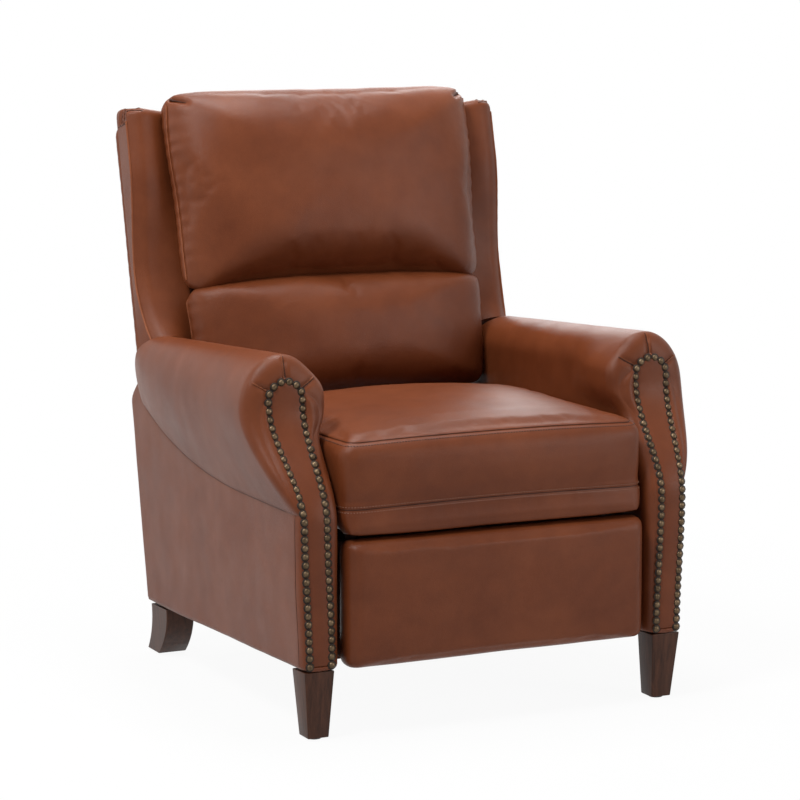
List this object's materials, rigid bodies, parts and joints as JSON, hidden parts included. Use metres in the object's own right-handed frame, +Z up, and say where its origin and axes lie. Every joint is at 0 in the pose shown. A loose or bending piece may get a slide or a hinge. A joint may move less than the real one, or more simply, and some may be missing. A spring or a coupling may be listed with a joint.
{
  "type": "wingback recliner",
  "caption": "Leather wingback push-back recliner with rolled arms, brass nail trim, a two-pillow back and a fold-out footrest",
  "frame": {"origin": "centre of the bounding box in plan, on the floor under the glides", "axes": "+X to the right of someone looking at the chair from the front, +Y to the rear (the chair faces -Y), +Z up"},
  "size_m": [0.84, 0.8464, 1.048],
  "materials": {
    "leather": "saddle brown, fine grain, soft sheen",
    "leg_wood": "espresso stain, satin",
    "frame_wood": "raw plywood and softwood",
    "mechanism_steel": "black coated steel",
    "spring_steel": "bare spring wire",
    "aged_brass": "antique brass",
    "glide_plastic": "black nylon"
  },
  "bodies": {
    "base": {"arm_upholstery_left": "leather", "arm_upholstery_right": "leather", "arm_panel_left": "frame_wood", "arm_panel_right": "frame_wood", "arm_scroll_front_left": "leather", "arm_scroll_front_right": "leather", "nail_strip_left": "aged_brass", "nail_strip_right": "aged_brass", "front_leg_left": "leg_wood", "front_leg_right": "leg_wood", "rear_leg_left": "leg_wood", "rear_leg_right": "leg_wood", "front_glide_left": "glide_plastic", "front_glide_right": "glide_plastic", "rear_glide_left": "glide_plastic", "rear_glide_right": "glide_plastic", "base_front_rail": "frame_wood", "base_rear_panel": "leather", "base_hinge_plate_left": "mechanism_steel", "base_hinge_plate_right": "mechanism_steel"},
    "back": {"back_hinge_plate_left": "mechanism_steel", "back_hinge_plate_right": "mechanism_steel", "back_post_left": "frame_wood", "back_post_right": "frame_wood", "back_top_rail": "frame_wood", "back_bottom_rail": "frame_wood", "back_springs": "spring_steel", "back_outside_panel": "leather", "wing_left": "leather", "wing_right": "leather", "upper_back_pillow": "leather", "lower_back_pillow": "leather"},
    "front_links": {"front_swing_link_left": "mechanism_steel", "front_swing_link_right": "mechanism_steel"},
    "seat": {"seat_side_plate_left": "mechanism_steel", "seat_side_plate_right": "mechanism_steel", "seat_side_rail_left": "frame_wood", "seat_side_rail_right": "frame_wood", "seat_front_rail": "frame_wood", "seat_rear_rail": "frame_wood", "seat_springs": "spring_steel", "seat_cushion": "leather"},
    "main_links": {"footrest_main_link_left": "mechanism_steel", "footrest_main_link_right": "mechanism_steel", "footrest_cross_tube": "mechanism_steel"},
    "rear_links": {"footrest_rear_link_left": "mechanism_steel", "footrest_rear_link_right": "mechanism_steel"},
    "long_links": {"footrest_long_link_left": "mechanism_steel", "footrest_long_link_right": "mechanism_steel"},
    "short_links": {"footrest_short_link_left": "mechanism_steel", "footrest_short_link_right": "mechanism_steel"},
    "footrest": {"footrest_bracket_left": "mechanism_steel", "footrest_bracket_right": "mechanism_steel", "footrest_board": "frame_wood", "footrest_pad": "leather"}
  },
  "joints": [
    {"name": "back_recline", "type": "hinge", "parent": "base", "child": "back", "pos_m": [0, 0.28501, 0.455], "axis": [-1, 0, 0], "range_deg": [0, 30], "stiffness_Nm_per_rad": 60, "springref_deg": -28.65},
    {"name": "seat_pivot", "type": "hinge", "parent": "back", "child": "seat", "pos_m": [0, 0.26101, 0.335], "axis": [-1, 0, 0], "range_deg": [-30, 0]},
    {"name": "front_swing", "type": "hinge", "parent": "base", "child": "front_links", "pos_m": [0, 0.03501, 0.319], "axis": [-1, 0, 0], "range_deg": [0, 30]},
    {"name": "main_link_pivot", "type": "hinge", "parent": "seat", "child": "main_links", "pos_m": [0, -0.21699, 0.319], "axis": [-1, 0, 0], "range_deg": [0, 90]},
    {"name": "rear_link_pivot", "type": "hinge", "parent": "seat", "child": "rear_links", "pos_m": [0, -0.16096, 0.29752], "axis": [-1, 0, 0], "range_deg": [0, 90]},
    {"name": "long_link_pivot", "type": "hinge", "parent": "main_links", "child": "long_links", "pos_m": [0, -0.12789, 0.2299], "axis": [-1, 0, 0], "range_deg": [-90, 0]},
    {"name": "short_link_pivot", "type": "hinge", "parent": "main_links", "child": "short_links", "pos_m": [0, -0.10589, 0.1899], "axis": [-1, 0, 0], "range_deg": [-90, 0]},
    {"name": "footrest_pivot", "type": "hinge", "parent": "long_links", "child": "footrest", "pos_m": [0, -0.34199, 0.312], "axis": [-1, 0, 0], "range_deg": [0, 90]}
  ],
  "couplings": [
    {"joint": "seat_pivot", "follows": "back_recline", "ratio": -1},
    {"joint": "front_swing", "follows": "back_recline", "ratio": 1},
    {"joint": "main_link_pivot", "follows": "back_recline", "ratio": 3},
    {"joint": "rear_link_pivot", "follows": "back_recline", "ratio": 3},
    {"joint": "long_link_pivot", "follows": "back_recline", "ratio": -3},
    {"joint": "short_link_pivot", "follows": "back_recline", "ratio": -3},
    {"joint": "footrest_pivot", "follows": "back_recline", "ratio": 3}
  ]
}
